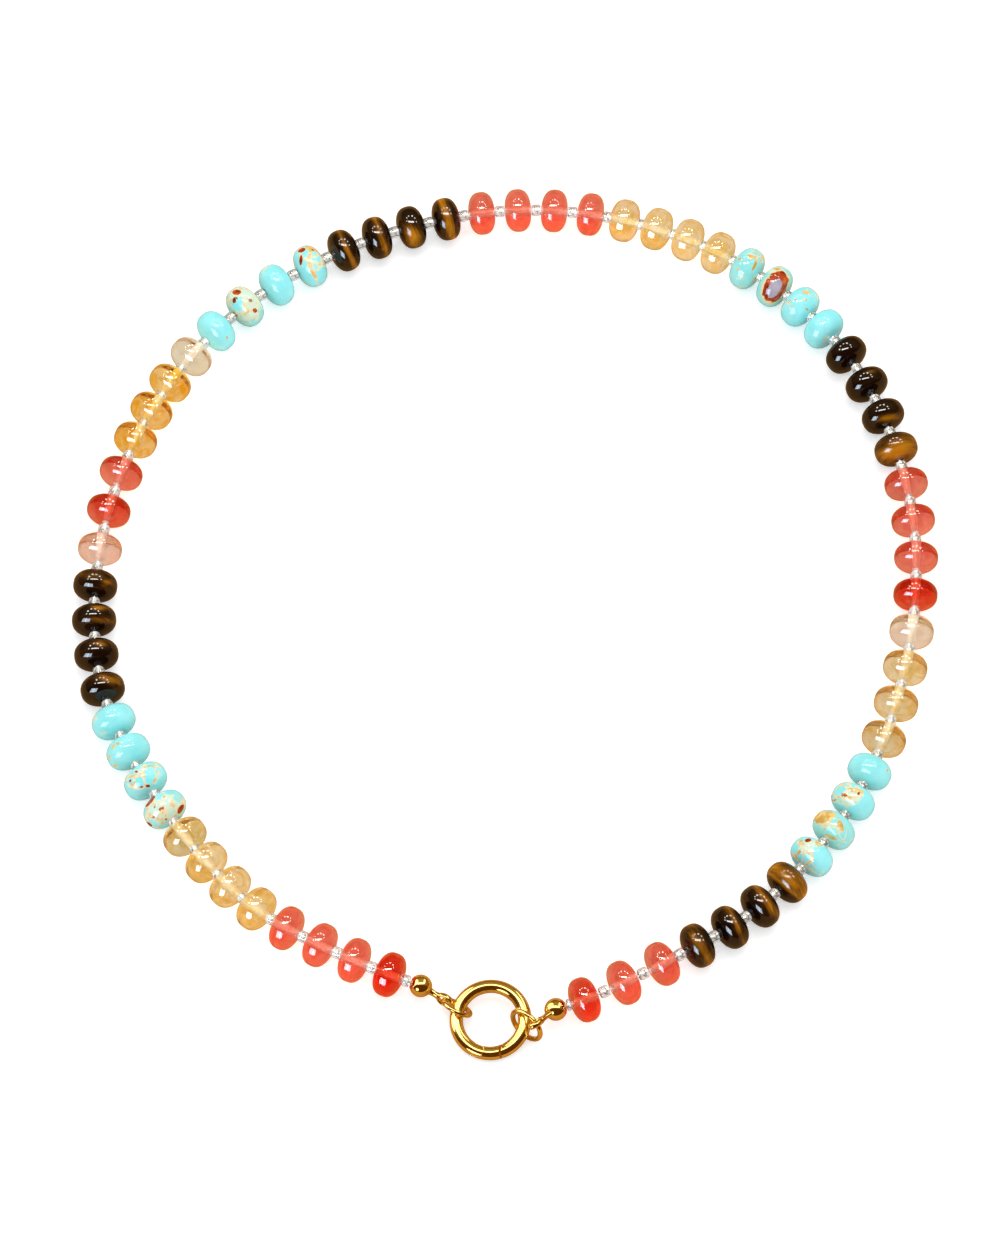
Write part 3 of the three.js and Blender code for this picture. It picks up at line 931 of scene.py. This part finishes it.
def make_beads():
    rng = random.Random(11)
    clear = {name: clear_stone(name, *looks) for name, looks in CLEAR_STONES.items()}
    walls = {name: drill_wall(f"{name}_drill_wall", colour) for name, colour in DRILL_WALLS.items()}
    opaque = {"turquoise": turquoise_stone(), "tigers_eye": tigers_eye_stone()}
    outlines = {stone: rondelle(BEAD_WIDTH, length) for stone, length in STONE_LENGTHS.items()}
    count = {}
    for bead in BEADS:
        stone, number = bead["stone"], bead["number"]
        count[stone] = count.get(stone, 0) + 1
        matrix = PLACE @ bead_frame(bead)
        turn = Matrix.Rotation(rng.uniform(0, 6.3), 3, "Z")
        if stone in walls:
            materials = [clear[ODD_BEADS.get(number, stone)], walls[stone]]
            node = f"{stone}_bead_{count[stone]}"
        else:
            materials = [opaque[stone]]
            node = run_node(bead["run"])
        if stone == "turquoise":
            *tone, marks = TURQUOISE[number]
        elif stone == "tigers_eye":
            golden, direction, marks = TIGERS_EYE[number]
            tone = (golden, 0.0, 0.0, 1.0)
            turn = Matrix.Rotation(-math.radians(direction), 3, "Z")
        piece = make_piece(
            f"{stone}_stone_{count[stone]}", lathe(outlines[stone], BEAD_SIDES), matrix,
            materials, "necklace", [node], angle=60,
        )
        offset = Vector((rng.uniform(-40, 40), rng.uniform(-40, 40), rng.uniform(-40, 40)))
        paint_stone(piece, [matrix], [turn], offset)
        if stone in opaque:
            paint_marks(piece, matrix.translation, tone, marks)
            continue
        axis = matrix.to_3x3().col[1]
        for face in piece.data.polygons:
            away = face.center / MM - matrix.translation
            from_axis = (away - axis * away.dot(axis)).length
            face.material_index = 1 if from_axis < HOLE_WIDTH * 0.52 else 0


def glass_outline(length):
    """A glass bead's closed outline about Y, with a wide lined hole."""
    hole, half, rim, rows = GLASS_HOLE / 2, GLASS_WIDTH / 2, 0.1, 10
    spread = math.pi * 0.86
    outer = []
    for i in range(rows + 1):
        angle = -spread / 2 + spread * i / rows
        radius = hole + rim + (half - hole - rim) * math.cos(angle) ** 0.55
        outer.append((radius, math.copysign(length / 2 * abs(math.sin(angle)) ** 0.7, angle)))
    end = outer[-1][1]
    return outer + [(hole, end - GLASS_LIP), (hole, -end + GLASS_LIP)]


def run_node(run):
    """The CAD node of a run: its thread and glass beads, and its stones where they are opaque."""
    stone = RUNS[run][0]
    number = sum(other == stone for other, _, _ in RUNS[:run + 1])
    return f"{stone}_{'thread' if stone in DRILL_WALLS else 'run'}_{number}"


def make_glass():
    """The glass beads of each run: one before each of its stones, and one after the last stone."""
    rng = random.Random(5)
    glass, lining = clear_glass(), silver_lining()
    half = BEAD_LENGTH / 2
    for run in range(len(RUNS)):
        gaps = [
            (BEADS[i - 1]["at"] + half if i else BALL_WIDTH / 2, bead["at"] - half)
            for i, bead in enumerate(BEADS)
            if bead["run"] == run
        ]
        if run == len(RUNS) - 1:
            gaps.append((BEADS[-1]["at"] + half, ROUTE_LENGTH - BALL_WIDTH / 2))
        shapes, frames = [], []
        for start, end in gaps:
            at = (start + end) / 2
            length = min(GLASS_LENGTH, end - start - 0.06)
            tilt = math.radians(rng.uniform(-GLASS_TILT, GLASS_TILT))
            direction = Matrix.Rotation(tilt, 3, "Z") @ thread_direction(at)
            frames.append(PLACE @ frame_along(direction, thread_point(at)))
            shapes.append(moved(lathe(glass_outline(length), GLASS_SIDES), frames[-1]))
        piece = make_piece(
            f"glass_beads_{run + 1}", together(shapes), Matrix(), [glass, lining],
            "necklace", [run_node(run)], angle=50,
        )
        paint_stone(piece, frames, [frame.to_3x3().inverted() for frame in frames])
        for face in piece.data.polygons:
            centre = face.center / MM
            local = frames[nearest(frames, centre)].inverted() @ centre
            if math.hypot(local.x, local.z) < GLASS_HOLE / 2 + 0.01:
                face.material_index = 1


def make_thread():
    """Two plies twisted round each other, from inside one bead tip to inside the other."""
    length = ROUTE_LENGTH - 2 * THREAD_IN_TIP
    steps = int(length / THREAD_STEP)
    path = [PLACE @ thread_point(THREAD_IN_TIP + length * i / steps) for i in range(steps + 1)]
    section = []
    for i in range(THREAD_SIDES):
        angle = 2 * math.pi * i / THREAD_SIDES
        radius = THREAD_WIDTH / 2 * (0.86 + 0.14 * math.cos(2 * angle))
        section.append((radius * math.cos(angle), radius * math.sin(angle)))
    make_piece(
        "thread", sweep(path, section, normal=UP.copy(), twist=THREAD_TWIST), Matrix(),
        [thread_material()], "necklace",
        [run_node(run) for run in range(len(RUNS))], angle=80,
    )


# ---- Clasp ----

RING_RADIUS = (RING_WIDTH - RING_WIRE) / 2


def on_ring(degrees):
    """A point on the middle of the clasp's wire."""
    angle = math.radians(degrees)
    return Vector((math.cos(angle), math.sin(angle), 0)) * RING_RADIUS


HINGE = on_ring(HINGE_ANGLE) * HINGE_RADIUS / RING_RADIUS
GATE_REACH = (on_ring(SLIT_ANGLE) - HINGE).length
RING_PLACE = (
    PLACE
    @ Matrix.Translation(RING_CENTRE)
    @ Matrix.Rotation(math.radians(RING_PITCH), 4, "X")
    @ Matrix.Rotation(-math.radians(RING_ROLL), 4, "Y")
)


def ring_arc(start, end, grown=0.0):
    """Round wire along the ring from one angle to another."""
    steps = max(4, round(abs(end - start) / 2.5))
    points = [on_ring(start + (end - start) * i / steps) for i in range(steps + 1)]
    return sweep(points, circle(RING_WIRE / 2 + grown, 36), normal=UP.copy())


def trimmed(shape, point, normal):
    """Cuts off what lies past a plane near a point, closes the cut and rounds its edge."""
    reach, rounding = 4, 0.12
    work = bmesh.new()
    work.from_mesh(mesh_of("trim", shape))
    verts = [v for v in work.verts if (v.co - point).length < reach]
    near = set(verts)
    edges = [e for e in work.edges if near.issuperset(e.verts)]
    faces = [f for f in work.faces if near.issuperset(f.verts)]
    bmesh.ops.bisect_plane(
        work, geom=verts + edges + faces,
        plane_co=point, plane_no=normal, clear_outer=True,
    )
    rim = [e for e in work.edges if e.is_boundary]
    bmesh.ops.holes_fill(work, edges=rim)
    bmesh.ops.bevel(
        work, geom=rim, offset=rounding, offset_type="OFFSET", segments=4,
        profile=0.5, affect="EDGES", clamp_overlap=True,
    )
    verts = [v.co.copy() for v in work.verts]
    faces = [tuple(v.index for v in f.verts) for f in work.faces]
    work.free()
    return verts, faces


def drum(radius, height, sides=48):
    """A drum about the gate's hinge axis."""
    profile = [(0, -height / 2), (radius, -height / 2), (radius, height / 2), (0, height / 2)]
    matrix = Matrix.Translation(HINGE) @ Matrix.Rotation(math.pi / 2, 4, "X")
    return moved(lathe(profile, sides, False), matrix)


def turned_about_hinge(shape, degrees):
    turn = Matrix.Rotation(math.radians(degrees), 4, "Z")
    return moved(shape, Matrix.Translation(HINGE) @ turn @ Matrix.Translation(-HINGE))


def make_clasp(gold):
    """The ring forks round the gate's tongue, and its round end lies in the gate's shoulder."""
    toward = (on_ring(SLIT_ANGLE) - HINGE).normalized()
    slant = (toward + UP * 0.35).normalized()
    ear, seam, slot, tongue = RING_WIRE / 2, 0.05, 0.96, 0.8
    rivet, rivet_hole = 0.34, 0.42
    past_slit, through = 9, RING_WIRE * 2
    round_end = ring_arc(HINGE_ANGLE - 6, HINGE_ANGLE + 16)
    ring = trimmed(
        ring_arc(SLIT_ANGLE - past_slit, HINGE_ANGLE + 360),
        HINGE + toward * (GATE_REACH + SLIT_WIDTH + 0.06), -slant,
    )
    ring = combine(
        ring,
        ("UNION", combine(round_end, ("INTERSECT", drum(ear, through)))),
        ("DIFFERENCE", drum(ear + 0.3, slot)),
        ("UNION", drum(rivet, RING_WIRE - 0.6, 24)),
    )
    make_piece("ring_body", ring, RING_PLACE, [gold], "necklace", ["clasp_ring"], angle=30)
    wire = trimmed(
        ring_arc(HINGE_ANGLE, SLIT_ANGLE + past_slit), HINGE + toward * (GATE_REACH - 0.04), slant
    )
    # Room for the ring when the gate is open, and half open.
    behind = ring_arc(HINGE_ANGLE - 25, HINGE_ANGLE - 1, grown=0.04)
    wire = combine(
        wire,
        ("DIFFERENCE", drum(ear + seam, through)),
        ("DIFFERENCE", turned_about_hinge(behind, -41)),
        ("DIFFERENCE", turned_about_hinge(behind, -24)),
    )
    tab = combine(
        ring_arc(HINGE_ANGLE - 8, SLIT_ANGLE - 4),
        ("INTERSECT", drum(ear + 0.22, tongue)),
    )
    gate = combine(wire, ("UNION", tab), ("DIFFERENCE", drum(rivet_hole, RING_WIRE, 24)))
    make_piece("ring_gate", gate, RING_PLACE, [gold], "gate", ["clasp_gate"], angle=30)


def on_jump_ring(name, angle):
    """A point on the middle of a jump ring's wire, the wire's direction and the ring's axis."""
    ring = JUMP_RINGS[name]
    lift, turn = math.radians(ring["elevation"]), math.radians(ring["azimuth"])
    flat = math.cos(lift)
    axis = Vector((flat * math.cos(turn), flat * math.sin(turn), math.sin(lift)))
    level = UP.cross(axis).normalized()
    other = axis.cross(level)
    outward = level * math.cos(angle) + other * math.sin(angle)
    along = other * math.cos(angle) - level * math.sin(angle)
    return Vector(ring["centre"]) + outward * ((ring["width"] - JUMP_WIRE) / 2), along, axis


def make_jump_ring(name, gold):
    """Round wire closed end to end, with a fine seam where its ends meet."""
    seam, seam_at, steps = math.radians(0.8), math.radians(200), 72
    angles = [seam_at + seam / 2 + (2 * math.pi - seam) * i / steps for i in range(steps + 1)]
    path = [on_jump_ring(name, angle)[0] for angle in angles]
    shape = sweep(path, circle(JUMP_WIRE / 2, 20), normal=on_jump_ring(name, 0)[2])
    make_piece(f"{name}_wire", shape, PLACE, [gold], "necklace", [name], angle=50)


def make_tip(name, at, gold):
    """A drilled ball with a neck and a flat eye, through which its jump ring passes."""
    tip = TIPS[name]
    hang, along, _ = on_jump_ring(tip["ring"], math.radians(tip["angle"]))
    ball = thread_point(at)
    to_beads = thread_direction(at) * (1 if at == 0 else -1)
    out = (hang - ball).normalized()
    across = along.cross(out).normalized()
    normal = Matrix.Rotation(math.radians(tip["lean"]), 3, out) @ out.cross(across)

    half, hole, depth, rows = BALL_WIDTH / 2, 0.62, 0.9, 26
    start = math.asin(hole / half) + 0.07
    profile = [(0, depth), (hole, depth), (hole, half * math.cos(start) - 0.05)]
    for i in range(rows + 1):
        angle = start + (math.pi - start) * i / rows
        profile.append((half * math.sin(angle), half * math.cos(angle)))
    profile[-1] = (0, -half)
    sphere = moved(lathe(profile, 40, False), frame_along(to_beads, ball))

    eye_long, eye_wide = 1.35, 0.95
    side = normal.cross(out)
    path = [hang + out * eye_long * u + side * eye_wide * v for u, v in circle(1.0, 40)]
    eye = sweep(path, circle(0.3, 16, squash=1.7), closed=True, normal=normal)
    neck_from, neck_to = half - 0.35, (hang - ball).length - eye_long + 0.16
    path = [ball + out * (neck_from + (neck_to - neck_from) * i / 8) for i in range(9)]
    shape = combine(sphere, ("UNION", flared(path, normal)), ("UNION", eye))
    make_piece(f"{name}_ball", shape, PLACE, [gold], "necklace", [name], angle=40)


def flared(path, normal):
    """A short neck, a little flat, that widens towards the ball and towards the eye."""
    sides, narrowest = 16, 0.55
    verts = []
    side = (path[-1] - path[0]).normalized().cross(normal)
    for i, point in enumerate(path):
        flare = (abs(i / (len(path) - 1) - narrowest) / narrowest) ** 2
        for u, v in circle(1.0, sides):
            verts.append(point + side * u * (0.6 + 0.2 * flare) + normal * v * (0.5 + 0.22 * flare))
    return verts, quads(len(path), sides, False, True) + caps(len(path), sides)


# ---- The necklace ----

make_camera()
make_floor()
stone_lights, gold_lights = make_lights()
make_world()
bpy.context.scene.view_settings.view_transform = "Standard"
# Light goes through many clear beads.
light_paths = bpy.context.scene.cycles
light_paths.max_bounces = 24
light_paths.glossy_bounces = 16
light_paths.transmission_bounces = 24
light_paths.transparent_max_bounces = 24

make_beads()
make_glass()
make_thread()
gold = polished_gold()
make_clasp(gold)
for ring_name in JUMP_RINGS:
    make_jump_ring(ring_name, gold)
make_tip("bead_tip_left", 0, gold)
make_tip("bead_tip_right", ROUTE_LENGTH, gold)
share_lights(stone_lights, gold_lights, [
    "ring_body", "ring_gate", "jump_ring_left_wire", "jump_ring_right_wire",
    "bead_tip_left_ball", "bead_tip_right_ball",
])
